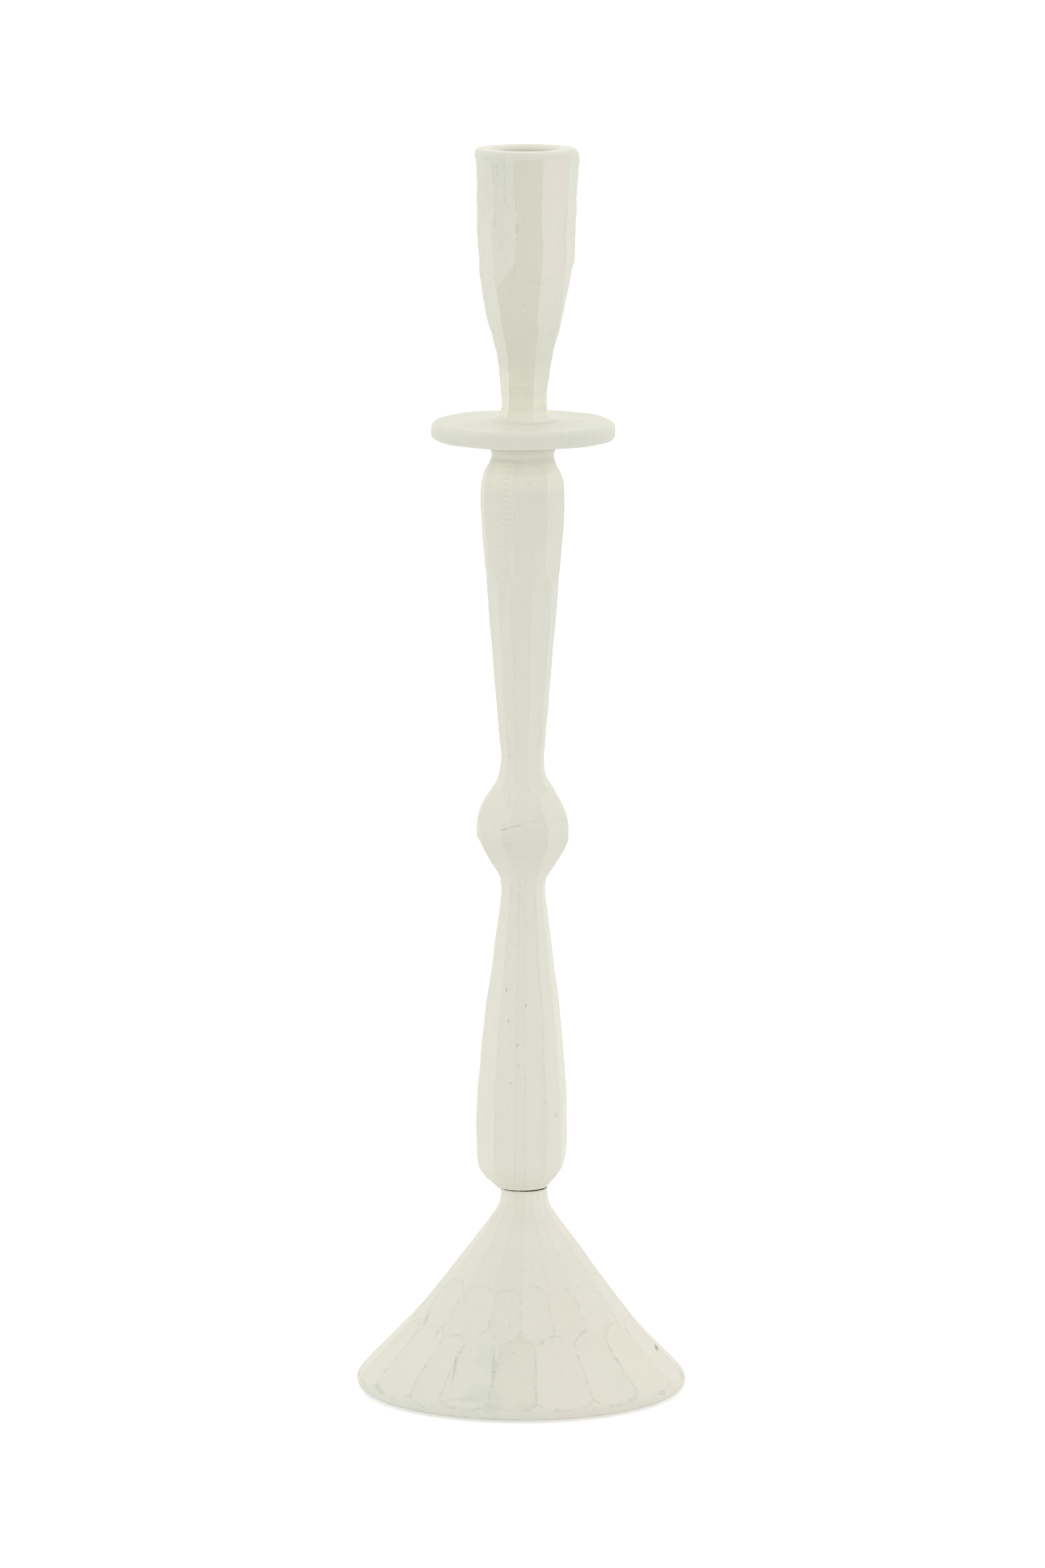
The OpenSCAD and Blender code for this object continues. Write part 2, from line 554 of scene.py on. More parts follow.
class Slot(Enum):
    """The record's material slots."""

    PAINTED_WOOD = "painted_wood"
    BARE_WOOD = "bare_wood"
    ZINC_STEEL = "zinc_steel"
    BRASS = "brass"
    FELT = "felt"


Triple = tuple[float, float, float]
Colour = Triple
Socket = bpy.types.NodeSocket
Value = Socket | float | Colour

GREENISH = (0.620, 0.643, 0.538)
PORE = (0.34, 0.34, 0.27)
CREVICE = (0.33, 0.35, 0.28)
WORN = (0.70, 0.70, 0.64)
# colour of the painted shadow at the joint between stem and base
JOINT_SHADOW = (0.03, 0.032, 0.025)


class Graph:
    """The nodes of one material, made one at a time."""

    def __init__(self, name: str) -> None:
        """Makes an empty material with a Principled shader."""
        self.material = bpy.data.materials.new(name)
        self.material.use_nodes = True
        self.tree = self.material.node_tree
        self.tree.nodes.clear()
        self.shader = self.tree.nodes.new("ShaderNodeBsdfPrincipled")
        output = self.tree.nodes.new("ShaderNodeOutputMaterial")
        self.tree.links.new(self.shader.outputs[0], output.inputs[0])
        self.spot = self.add("ShaderNodeTexCoord").outputs["Object"]

    def add(self, kind: str, inputs: dict | None = None, **settings: str) -> bpy.types.Node:
        """Adds a node.

        Args:
            kind: the node's type.
            inputs: values or other nodes' outputs for its sockets, by name or number.
            settings: the node's own settings.

        Returns:
            The new node.
        """
        node = self.tree.nodes.new(kind)
        for key, value in settings.items():
            setattr(node, key, value)
        for key, value in (inputs or {}).items():
            self.plug(node.inputs[key], value)
        return node

    def plug(self, socket: Socket, value: Value) -> None:
        """Links an output to a socket, or sets its value.

        Args:
            socket: the input.
            value: another node's output, or the value to set.
        """
        if isinstance(value, Socket):
            self.tree.links.new(value, socket)
        elif isinstance(value, tuple) and len(value) == 3 and socket.type == "RGBA":
            socket.default_value = (*value, 1.0)
        else:
            socket.default_value = value

    def math(self, operation: str, a: Value, b: Value = 0.5) -> Socket:
        """Result of one sum on two values."""
        return self.add("ShaderNodeMath", {0: a, 1: b}, operation=operation).outputs[0]

    def mix(self, factor: Value, a: Value, b: Value, blend: str = "MIX") -> Socket:
        """One colour mixed into another.

        Args:
            factor: share of the second colour.
            a: the first colour.
            b: the second colour.
            blend: how the two are mixed.

        Returns:
            The output with the mixed colour.
        """
        node = self.add("ShaderNodeMix", data_type="RGBA", blend_type=blend)
        self.plug(node.inputs[0], factor)
        self.plug(node.inputs[6], a)
        self.plug(node.inputs[7], b)
        return node.outputs[2]

    def ramp(
        self, value: Socket, low: float, high: float, start: float = 0.0, end: float = 1.0
    ) -> Socket:
        """A value eased from start to end while another goes from low to high.

        Args:
            value: the other value.
            low: where it starts to act.
            high: where it stops acting.
            start: the result at low.
            end: the result at high.

        Returns:
            The output with the result.
        """
        inputs = {"Value": value, 1: low, 2: high, 3: start, 4: end}
        node = self.add("ShaderNodeMapRange", inputs, interpolation_type="SMOOTHSTEP")
        return node.outputs[0]

    def near(self, distance: Socket, width: float) -> Socket:
        """1 at a line, falling softly to 0 at the given distance from it."""
        return self.ramp(distance, width, 0.1 * width)

    def bump(self, height: Socket, distance: float) -> None:
        """Gives the surface a relief, in metres at a height of 1."""
        node = self.add("ShaderNodeBump", {"Height": height, "Distance": distance, "Strength": 1.0})
        self.plug(self.shader.inputs["Normal"], node.outputs[0])

    def axis(self, number: int) -> Socket:
        """One of the three object coordinates, in metres."""
        return self.add("ShaderNodeSeparateXYZ", {0: self.spot}).outputs[number]

    def placed(self, scale: Triple, shift: Triple = (0.0, 0.0, 0.0)) -> Socket:
        """Object coordinates, stretched and shifted."""
        inputs = {"Vector": self.spot, "Location": shift, "Scale": scale}
        return self.add("ShaderNodeMapping", inputs).outputs[0]

    def noise(self, scale: Triple, detail: float = 3.0, rough: float = 0.5, seed: float = 0.0) -> Socket:
        """Cloudy noise.

        Args:
            scale: waves per metre along each axis.
            detail: octaves of finer noise.
            rough: strength of the finer noise.
            seed: moves the pattern.

        Returns:
            The output with the noise, from 0 to 1.
        """
        vector = self.placed(scale, (seed, seed * 1.7, seed * 0.6))
        inputs = {"Vector": vector, "Scale": 1.0, "Detail": detail, "Roughness": rough}
        return self.add("ShaderNodeTexNoise", inputs).outputs[0]

    def blob(self, mark: "Mark") -> Socket:
        """How strongly a mark shows at each spot.

        Args:
            mark: the mark.

        Returns:
            The output with its strength, from 0 to 1.
        """
        wide, high = mark.width * MM / 2, mark.height * MM / 2
        inputs = {
            "Vector": self.spot,
            "Location": (mark.x * MM, (mark.y or 0.0) * MM, mark.z * MM),
            "Rotation": (0.0, math.radians(mark.turn), 0.0),
            "Scale": (wide, 10.0 if mark.y is None else wide, high),
        }
        local = self.add("ShaderNodeMapping", inputs, vector_type="TEXTURE").outputs[0]
        size = self.add("ShaderNodeVectorMath", {0: local}, operation="LENGTH").outputs["Value"]
        if mark.ragged:
            rate = 2600.0 / max(0.6, mark.width)
            cloud = self.noise((rate,) * 3, 4.0, 0.6, mark.x)
            size = self.math("ADD", size, self.ramp(cloud, 0, 1, -mark.ragged, mark.ragged))
        inside = self.ramp(size, 1.0, mark.edge, 0.0, mark.strength)
        front = self.math("LESS_THAN", self.axis(1), 0.0)
        return self.math("MULTIPLY", inside, front)


@dataclass(frozen=True)
class Mark:
    """One small blemish or patch of painted light on the front of a piece: a crack, a pit, a knot, a chip
    or a stain.

    Attributes:
        x, z: its middle, in millimetres.
        width, height: its size before it is turned.
        turn: turn in the front view, in degrees.
        colour: paint or wood colour that shows there.
        strength: how opaque it is.
        edge: share of its size where it is at full strength.
        ragged: how uneven its outline is.
        depth: how far it lies below the surface, in millimetres, for the bump.
        y: its middle from front to back, for a mark on a flat top, or None.
    """

    x: float
    z: float
    width: float
    height: float
    turn: float = 0.0
    colour: Colour = (0.2, 0.19, 0.15)
    strength: float = 0.8
    edge: float = 0.5
    ragged: float = 0.35
    depth: float = 0.0
    y: float | None = None


@dataclass(frozen=True)
class PaintedWood:
    """Matt off-white paint, brushed thinly over carved wood.

    Attributes:
        name: the material's name.
        cool, warm: the two tints that the paint drifts between.
        olive, pink: the tints of the darkest and of the lightest cuts.
        drift: height and width of the drifting patches, in millimetres.
        sides: how much warmer the right side is than the left.
        green: strength of the greenish patches.
        seam: height in millimetres of a near-black band of painted shadow at a joint, or 0.
        ridge_line: how dark the fine broken line along each ridge is.
        row_line: how dark the line between two rows is.
        line_width: width of those lines, in millimetres.
        ragged: how far they stray to either side, in millimetres.
        worn: how much paler the paint is on the ridges.
        tone: how much one cut differs from the next in brightness, partly in its paint and partly as
            painted facet shade.
        painted_light_curve: painted light and shade, as the coat's brightness at stations up the piece, set
            for the front view.
        gloss: strength of its sheen.
        blush: how strongly the darkest and the lightest cuts are tinted.
        grain: strength of the streaks along the grain.
        chatter: height of the fine steps that the tool left, in millimetres.
        ripples: stretches where the tool left a ladder of small steps.
        lumps: stretches where the paint dried thick and lumpy.
        marks: single blemishes on the front, and patches of painted light.
        carved: whether the piece has ridges at all.
    """

    name: str
    cool: Colour = (0.645, 0.651, 0.568)
    warm: Colour = (0.664, 0.651, 0.562)
    olive: Colour = (0.628, 0.620, 0.522)
    pink: Colour = (0.684, 0.654, 0.578)
    drift: float = 24.0
    sides: float = 0.0
    green: float = 0.2
    ridge_line: float = 0.12
    row_line: float = 0.1
    line_width: float = 0.3
    ragged: float = 0.4
    worn: float = 0.05
    tone: float = 0.03
    painted_light_curve: Curve = Curve(((0, 1.0),))
    seam: float = 0.0
    blush: float = 0.5
    gloss: float = 0.3
    grain: float = 0.012
    chatter: float = 0.0
    ripples: tuple[Mark, ...] = ()
    lumps: tuple[Mark, ...] = ()
    marks: tuple[Mark, ...] = ()
    carved: bool = True

    def material(self) -> bpy.types.Material:
        """Builds the finish's nodes.

        Returns:
            The material.
        """
        g = Graph(self.name)
        colour = self.paint(g)
        line = None
        if self.carved:
            colour, line = self.ridges(g, colour)
        pores = self.pores(g)
        colour = g.mix(g.math("MULTIPLY", pores, 0.34), colour, PORE)
        bump = self.relief(g, line, pores)
        # painted shadow: a near-black band round the joint, where the gap between stem and base is shaded
        if self.seam:
            uneven = g.ramp(g.noise((500.0, 500.0, 200.0), 4.0, 0.6, 11.0), 0.2, 0.8, -0.12 * MM, 0.12 * MM)
            off = g.math("ABSOLUTE", g.math("SUBTRACT", g.math("ADD", g.axis(2), uneven), self.seam * MM))
            colour = g.mix(g.ramp(off, 0.24 * MM, 0.1 * MM, 0.0, 0.93), colour, JOINT_SHADOW)
        for mark in self.marks:
            shown = g.blob(mark)
            colour = g.mix(shown, colour, mark.colour)
            if mark.depth:
                bump = g.math("SUBTRACT", bump, g.math("MULTIPLY", shown, mark.depth))
        g.bump(bump, MM)
        g.plug(g.shader.inputs["Base Color"], colour)
        rough = g.ramp(g.noise((240.0, 240.0, 90.0), 3.0, 0.6, 5.0), 0.3, 0.7, 0.5, 0.64)
        g.plug(g.shader.inputs["Roughness"], rough)
        g.shader.inputs["IOR"].default_value = 1.45
        g.shader.inputs["Specular IOR Level"].default_value = self.gloss
        return g.material

    def paint(self, g: Graph) -> Socket:
        """The paint's drifting tint with its brushed streaks.

        Args:
            g: the material's nodes.

        Returns:
            The output with the colour.
        """
        rate = 1000.0 / self.drift
        cloud = g.noise((rate, rate, rate * 0.7), 4.0, 0.55)
        if self.sides:
            cloud = g.math("ADD", cloud, g.ramp(g.axis(0), -0.05, 0.05, -self.sides, self.sides))
        colour = g.mix(g.ramp(cloud, 0.3, 0.7), self.cool, self.warm)
        if self.carved:
            # the cut's tone tints it olive or pink, partly the paint's own tint and partly painted shade of
            # facets facing different ways
            tone = self.cut(g)[2]
            colour = g.mix(g.ramp(tone, 0.35, 0.1, 0.0, self.blush), colour, self.olive)
            colour = g.mix(g.ramp(tone, 0.65, 0.9, 0.0, self.blush), colour, self.pink)
        green = g.ramp(g.noise((62.0, 62.0, 46.0), 5.0, 0.6, 3.0), 0.5, 0.75, 0.0, self.green)
        colour = g.mix(green, colour, GREENISH)
        brushed = g.noise((520.0, 520.0, 26.0), 5.0, 0.62, 1.0)
        streak = g.ramp(brushed, 0.25, 0.75, 1 - self.grain, 1 + self.grain)
        fine = g.ramp(g.noise((1500.0, 1500.0, 700.0), 3.0, 0.6, 8.0), 0.2, 0.8, 0.982, 1.018)
        shade = g.math("MULTIPLY", streak, fine)
        z = g.axis(2)
        # painted light and shade: the colour is made brighter or darker up the piece along the curve
        stations = self.painted_light_curve.stations
        shade = g.math("MULTIPLY", shade, stations[0][1])
        for (low, before), (high, after) in zip(stations, stations[1:]):
            shade = g.math("MULTIPLY", shade, g.ramp(z, low * MM, high * MM, 1.0, after / before))
        # the cut's tone also makes it darker or lighter: paint tone and painted facet shade
        if self.carved:
            tone = self.cut(g)[2]
            shade = g.math("MULTIPLY", shade, g.ramp(tone, 0.0, 1.0, 1 - self.tone, 1 + self.tone))
        return g.mix(1.0, colour, self.grey(g, shade), "MULTIPLY")

    def grey(self, g: Graph, value: Socket) -> Socket:
        """A value as an even grey."""
        return g.add("ShaderNodeCombineColor", {0: value, 1: value, 2: value}).outputs[0]

    def cut(self, g: Graph) -> list[Socket]:
        """Distance from the ridge and from the row's end, in millimetres, and the cut's tone."""
        stored = g.add("ShaderNodeAttribute", attribute_name="cut").outputs["Vector"]
        return list(g.add("ShaderNodeSeparateXYZ", {0: stored}).outputs)

    def ridges(self, g: Graph, colour: Socket) -> tuple[Socket, Socket]:
        """Thin broken lines along the ridges, and paint worn a little paler beside them.

        Args:
            g: the material's nodes.
            colour: colour of the paint.

        Returns:
            The colour with the ridges on it, and the strength of the lines for the bump.
        """
        side, end, _ = self.cut(g)
        stored = g.add("ShaderNodeAttribute", attribute_name="line").outputs["Fac"]
        ragged = g.ramp(g.noise((420.0, 420.0, 380.0), 5.0, 0.72, 6.0), 0.2, 0.8, -self.ragged, self.ragged)
        side_at = g.math("ABSOLUTE", g.math("ADD", side, ragged))
        end_at = g.math("ABSOLUTE", g.math("ADD", end, ragged))
        broken = g.ramp(g.noise((230.0, 230.0, 260.0), 5.0, 0.72, 2.0), 0.38, 0.66, 0.2, 1.0)
        pale = g.math("MULTIPLY", g.ramp(side, 1.6, 0.2, 0.0, self.worn), broken)
        colour = g.mix(pale, colour, WORN)
        along = g.math("MULTIPLY", g.near(side_at, self.line_width), self.ridge_line)
        across = g.math("MULTIPLY", g.near(end_at, self.line_width), self.row_line)
        line = g.math("MULTIPLY", g.math("MAXIMUM", along, across), g.math("MULTIPLY", broken, stored))
        return g.mix(line, colour, CREVICE), line

    def pores(self, g: Graph) -> Socket:
        """Tiny pinholes in the paint, in loose groups.

        Args:
            g: the material's nodes.

        Returns:
            The output that is 1 in a pinhole and 0 elsewhere.
        """
        inputs = {"Vector": g.placed((900.0, 900.0, 420.0)), "Scale": 1.0, "Randomness": 1.0}
        cells = g.add("ShaderNodeTexVoronoi", inputs)
        dots = g.ramp(cells.outputs["Distance"], 0.16, 0.07)
        group = g.ramp(g.noise((95.0, 95.0, 70.0), 3.0, 0.6, 4.0), 0.52, 0.66)
        return g.math("MULTIPLY", dots, group)

    def relief(self, g: Graph, line: Socket | None, pores: Socket) -> Socket:
        """Relief of the paint: brush streaks, tool chatter, grooves and pinholes.

        Args:
            g: the material's nodes.
            line: strength of the fine lines, or None on a piece without ridges.
            pores: strength of the pinholes.

        Returns:
            The output with the height, in millimetres.
        """
        peel = g.ramp(g.noise((420.0, 420.0, 300.0), 4.0, 0.55, 7.0), 0.0, 1.0, -0.035, 0.035)
        streak = g.ramp(g.noise((900.0, 900.0, 30.0), 4.0, 0.6, 1.0), 0.0, 1.0, -0.03, 0.03)
        total = g.math("ADD", peel, streak)
        total = g.math("SUBTRACT", total, g.math("MULTIPLY", pores, 0.05))
        if line is not None:
            total = g.math("SUBTRACT", total, g.math("MULTIPLY", line, 0.08))
        for stretch in self.ripples:
            inputs = {"Vector": g.spot, "Scale": 150.0, "Distortion": 2.2, "Detail": 2.0}
            inputs |= {"Detail Scale": 0.6, "Detail Roughness": 0.6}
            wave = g.add("ShaderNodeTexWave", inputs, bands_direction="Z")
            step = g.math("MULTIPLY", wave.outputs["Fac"], self.chatter)
            total = g.math("ADD", total, g.math("MULTIPLY", step, g.blob(stretch)))
        for stretch in self.lumps:
            soft = g.ramp(g.noise((330.0, 330.0, 210.0), 3.0, 0.5, 15.0), 0.3, 0.75, 0.0, 0.55)
            total = g.math("ADD", total, g.math("MULTIPLY", soft, g.blob(stretch)))
        return total


@dataclass(frozen=True)
class BareWood:
    """Bare or barely sealed wood: fine brown grain along the piece, with short dark flecks."""

    name: str
    light: Colour = (0.56, 0.44, 0.31)
    dark: Colour = (0.36, 0.25, 0.16)
    specks: float = 0.0

    def material(self) -> bpy.types.Material:
        """Builds the finish's nodes.

        Returns:
            The material.
        """
        g = Graph(self.name)
        grain = g.noise((700.0, 700.0, 36.0), 6.0, 0.65)
        colour = g.mix(g.ramp(grain, 0.32, 0.68), self.light, self.dark)
        fleck = g.ramp(g.noise((1500.0, 1500.0, 260.0), 3.0, 0.6, 2.0), 0.62, 0.72, 0.0, 0.5)
        colour = g.mix(fleck, colour, tuple(c * 0.45 for c in self.dark))
        if self.specks:
            spot = g.ramp(g.noise((1100.0,) * 3, 4.0, 0.7, 5.0), 0.6, 0.68, 0.0, self.specks)
            colour = g.mix(spot, colour, (0.75, 0.72, 0.64))
        g.plug(g.shader.inputs["Base Color"], colour)
        g.plug(g.shader.inputs["Roughness"], g.ramp(grain, 0.3, 0.7, 0.62, 0.8))
        g.bump(grain, 0.08 * MM)
        return g.material


@dataclass(frozen=True)
class Metal:
    """Plated or turned metal with fine lines round it and a slightly uneven sheen."""

    name: str
    bright: Colour
    dull: Colour
    rough: float = 0.3

    def material(self) -> bpy.types.Material:
        """Builds the finish's nodes.

        Returns:
            The material.
        """
        g = Graph(self.name)
        cloud = g.noise((260.0, 260.0, 260.0), 4.0, 0.6)
        g.plug(g.shader.inputs["Base Color"], g.mix(g.ramp(cloud, 0.35, 0.65), self.bright, self.dull))
        g.shader.inputs["Metallic"].default_value = 1.0
        lines = g.noise((60.0, 60.0, 5200.0), 3.0, 0.6, 3.0)
        both = g.math("ADD", g.math("MULTIPLY", lines, 0.4), g.math("MULTIPLY", cloud, 0.6))
        rough = g.ramp(both, 0.35, 0.65, self.rough * 0.8, self.rough * 1.5)
        g.plug(g.shader.inputs["Roughness"], rough)
        g.bump(lines, 0.02 * MM)
        return g.material


@dataclass(frozen=True)
class PressedFelt:
    """Pressed wool felt: matted fibres in two greys."""

    name: str
    light: Colour = (0.085, 0.095, 0.085)
    dark: Colour = (0.03, 0.036, 0.032)

    def material(self) -> bpy.types.Material:
        """Builds the finish's nodes.

        Returns:
            The material.
        """
        g = Graph(self.name)
        mat = g.noise((900.0, 900.0, 900.0), 6.0, 0.75)
        long = g.noise((2600.0, 320.0, 2600.0), 4.0, 0.7, 2.0)
        cross = g.noise((320.0, 2600.0, 2600.0), 4.0, 0.7, 4.0)
        fibre = g.math("MAXIMUM", long, cross)
        both = g.math("MULTIPLY", g.math("ADD", mat, fibre), 0.5)
        g.plug(g.shader.inputs["Base Color"], g.mix(g.ramp(both, 0.42, 0.66), self.dark, self.light))
        g.shader.inputs["Roughness"].default_value = 0.95
        g.shader.inputs["Sheen Weight"].default_value = 0.35
        g.bump(both, 0.3 * MM)
        return g.material


# ---------------------------------------------------------------- pieces


Finish = PaintedWood | BareWood | Metal | PressedFelt


def dress(piece: bpy.types.Object, *finishes: Finish, slot: Slot) -> None:
    """Puts finishes on a piece.

    Args:
        piece: the piece.
        finishes: its finishes, the main one first.
        slot: the record's slot; not used.
    """
    for finish in finishes:
        piece.data.materials.append(finish.material())


def refinish(piece: bpy.types.Object, index: int, chosen: Callable[[Vector], bool]) -> None:
    """Gives another of the piece's finishes to some of its faces.

    Args:
        piece: a piece that is dressed in two or more finishes.
        index: place of the finish in the piece's list.
        chosen: says of a face's middle, in millimetres, whether the face is one of them.
    """
    for face in piece.data.polygons:
        if chosen(face.center / MM):
            face.material_index = index


def hand_over(piece: bpy.types.Object, node: str, body: str) -> None:
    """Makes a piece ride on its body in place of a CAD node, and logs it.

    Args:
        piece: the finished piece.
        node: the CAD node that it stands for.
        body: the body that it moves with.
    """
    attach(piece, body)
    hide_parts(node)
    low, high = (np.array(x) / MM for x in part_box(node))
    log.info("%s on %s, %d faces, for a node of %s to %s mm", piece.name, body,
             len(piece.data.polygons), low.round(1), high.round(1))


@dataclass
class BaseUnit:
    """The round foot with its felt and the threaded insert in its neck.

    Attributes:
        radius: widest radius of the foot.
        height: height of the neck's top.
        felt_radius, felt_thickness: size of the felt disc.
        insert_radius: outer radius of the threaded insert.
        insert_foot, insert_top: heights of the insert's two ends.
        thread_radius: radius of the hole that the stud screws into.
    """

    radius: float = 60.9
    height: float = 75.5
    felt_radius: float = 53.9
    felt_thickness: float = 1.8
    insert_radius: float = 5.0
    insert_foot: float = 59.0
    insert_top: float = 75.0
    thread_radius: float = 3.05

    def build(self) -> None:
        """Builds and dresses every piece of the base."""
        self.wood()
        self.felt()
        self.insert()

    def wood(self) -> None:
        """Carves the cone of the base in three rows of cuts over a plain rim."""
        carving = Carving(
            outline=Curve((
                (1.1, 59.8), (1.7, 60.5), (2.5, 60.85), (3.6, self.radius), (5.0, 60.3), (6.6, 59.0),
                (9.7, 56.1), (15.7, 50.2), (18.8, 47.2), (27.9, 39.6), (40.1, 30.1), (52.2, 21.3),
                (60.7, 15.0), (63.9, 12.6), (67.2, 10.3), (70.3, 8.9), (73.3, 8.6), (75.1, 8.6),
            )),
            foot=1.1,
            rows=(
                CutRow(top=6.8),
                CutRow(top=25.3, cuts=21, ridges=(-82, -65, -43, -30, -11, 6.5, 27, 47, 68, 87),
                       arch=3.2, dip=2.6, hollow=0.35, flat=0.2, soft=0.3, run_out=0.12, uneven=0.12,
                       tones=(0.3, 0.5, 0.35, 0.6, 0.2, 0.8, 0.7, 0.6, 0.5)),
                CutRow(top=40.0, cuts=18, ridges=(-73, -48, -20, -1, 18, 39, 65, 88), arch=3.0, dip=1.4,
                       hollow=0.25, flat=0.3, soft=0.3, run_out=0.12, uneven=0.1, line=0.7,
                       tones=(0.3, 0.4, 0.3, 0.7, 0.35, 0.45, 0.6)),
                CutRow(top=75.1, cuts=16, ridges=(-70, -45, -22, -1, 20, 38, 62, 86), hollow=0.1, soft=0.3,
                       run_out=0.06, uneven=0.06, line=0.22, tones=(0.4, 0.4, 0.3, 0.75, 0.7, 0.5)),
            ),
            below=(
                Ring(0, self.felt_thickness),
                Ring(27, self.felt_thickness),
                Ring(54.4, self.felt_thickness),
                Ring(54.4, 0.8),
                Ring(58.6, 0.8),
                Ring(59.3, 0.9),
            ),
            above=(
                Ring(7.6, 75.35, 0.5),
                Ring(7.0, self.height, 0.3),
                Ring(self.insert_radius, self.height),
                Ring(self.insert_radius, self.insert_foot),
                Ring(3.5, self.insert_foot),
                Ring(3.5, 56.5),
                Ring(0, 56.5),
            ),
            lean=Curve(((1.1, 0.0), (5, -0.4), (12, -0.7), (34, 0.25), (60, 0.9), (73, 0.9), (75.5, 0.6))),
            columns=400,
            pitch=0.62,
            wobble=0.12,
            wander=1.4,
            seed=11,
        )
        piece = carving.build("base_wood")
        paint = PaintedWood(
            "base_paint",
            warm=(0.672, 0.650, 0.566),
            sides=0.14,
            green=0.35,
            ridge_line=0.38,
            row_line=0.34,
            line_width=0.6,
            ragged=0.9,
            tone=0.008,
            # painted light: the cone is made brighter towards the neck, by up to 9 % near its top
            painted_light_curve=Curve(((8, 0.985), (20, 0.99), (50, 1.0), (62, 1.03), (71, 1.09))),
            # painted shadow band round the top of the neck, at the joint with the stem
            seam=75.3,
            blush=0.6,
            gloss=0.04,
            marks=self.marks(),
        )
        dress(piece, paint, BareWood("base_raw_wood"), slot=Slot.PAINTED_WOOD)
        refinish(piece, 1, lambda spot: math.hypot(spot.x, spot.y) < 7.4 and spot.z > 56.0)
        hand_over(piece, "base", "base_unit")

    def marks(self) -> tuple[Mark, ...]:
        """Blemishes on the front of the base: a nick, dark flecks in the ridges, a worn grey patch."""
        grey = (0.47, 0.48, 0.44)
        dark = (0.25, 0.25, 0.27)
        return (
            Mark(49.9, 15.1, 1.1, 2.4, turn=-25, colour=(0.2, 0.2, 0.17), strength=0.55, depth=0.3),
            Mark(-24.5, 17.0, 1.2, 13.0, turn=12, colour=dark, strength=0.3, edge=0.2, ragged=1.3),
            Mark(-10.4, 18.5, 1.6, 12.0, turn=3, colour=dark, strength=0.26, edge=0.2, ragged=1.3),
            Mark(-35.0, 29.0, 1.2, 7.0, turn=30, colour=dark, strength=0.3, edge=0.2, ragged=1.3),
            Mark(-31.0, 26.0, 1.2, 4.0, turn=25, colour=dark, strength=0.26, edge=0.2, ragged=1.3),
            Mark(-17.0, 9.0, 28.0, 9.0, turn=-4, colour=grey, strength=0.15, edge=0.1, ragged=1.2),
            Mark(-8.0, 5.5, 24.0, 3.0, turn=-3, colour=grey, strength=0.24, edge=0.1, ragged=1.3),
            Mark(-24.0, 7.0, 18.0, 2.0, turn=-8, colour=grey, strength=0.22, edge=0.1, ragged=1.3),
            Mark(-13.0, 20.0, 14.0, 14.0, colour=grey, strength=0.1, edge=0.1, ragged=1.0),
            Mark(-4.5, 31.0, 0.6, 0.6, colour=dark, strength=0.6),
            Mark(-7.5, 35.5, 0.5, 0.5, colour=dark, strength=0.5),
            Mark(-3.2, 22.5, 0.6, 0.6, colour=dark, strength=0.5),
            Mark(-6.3, 39.0, 0.5, 0.5, colour=dark, strength=0.5),
        )

    def felt(self) -> None:
        """Cuts the felt disc, with a soft edge and a matted surface."""
        edge = 0.5
        r, t = self.felt_radius, self.felt_thickness
        chain = [(0.0, 0.0), (r - edge, 0.0), *arc((r - edge, edge), edge, -75, 0, 4),
                 *arc((r - edge, t - edge), edge, 0, 75, 4), (r - edge, t), (0.0, t)]
        mesh = spun("base_felt", dense(chain, 2.2), 180)

        def matted(place: np.ndarray) -> np.ndarray:
            """Presses the faces a little unevenly, never past the disc's own size.

            Args:
                place: vertices in millimetres, one a row.

            Returns:
                Their new places, in metres.
            """
            x, y, z = place.T
            dent = 0.06 * (1 + np.sin(x * 1.9 + 0.7 * y) * np.sin(y * 2.3 - 0.4 * x))
            inside = np.hypot(x, y) < r - 2 * edge
            up = np.where(z > t / 2, -dent, dent * 0.4) * inside
            return np.stack([x, y, z + up], axis=1) * MM

        reshape(mesh, matted)
        piece = finished(mesh)
        dress(piece, PressedFelt("felt"), slot=Slot.FELT)
        hand_over(piece, "felt_pad", "base_unit")

    def insert(self) -> None:
        """Turns the brass insert, with a fine thread inside and a coarse one outside."""
        low, top, outer, bore = self.insert_foot, self.insert_top, self.insert_radius, self.thread_radius
        wall = [(outer, low + 0.5), (outer, top - 0.5)]
        inner = [(bore + 0.02, top - 0.4), (bore + 0.02, low + 0.4)]
        chain = [(bore + 0.4, low), (outer - 0.4, low), *dense(wall, 0.16), (outer - 0.4, top),
                 (bore + 0.4, top), *dense(inner, 0.1), (bore + 0.4, low)]
        mesh = spun("threaded_insert_brass", chain, 64)

        def threaded(place: np.ndarray) -> np.ndarray:
            """Cuts both threads into the plain tube.

            Args:
                place: vertices in millimetres, one a row.

            Returns:
                Their new places, in metres.
            """
            x, y, z = place.T
            radius, angle = np.hypot(x, y), np.arctan2(y, x)
            outside = (radius > outer - 0.1) & (z > low + 0.45) & (z < top - 0.45)
            inside = radius < bore + 0.1
            coarse = thread(z, angle, 2.0, 0.55)
            fine = thread(z, angle, 1.0, 0.3)
            new = radius - np.where(outside, coarse, 0) + np.where(inside, fine, 0)
            return place * np.stack([new / radius, new / radius, np.ones_like(z)], axis=1) * MM

        reshape(mesh, threaded)
        piece = finished(mesh, 35)
        dress(piece, Metal("insert_brass", (0.80, 0.60, 0.28), (0.62, 0.45, 0.2), 0.28), slot=Slot.BRASS)
        hand_over(piece, "threaded_insert", "base_unit")


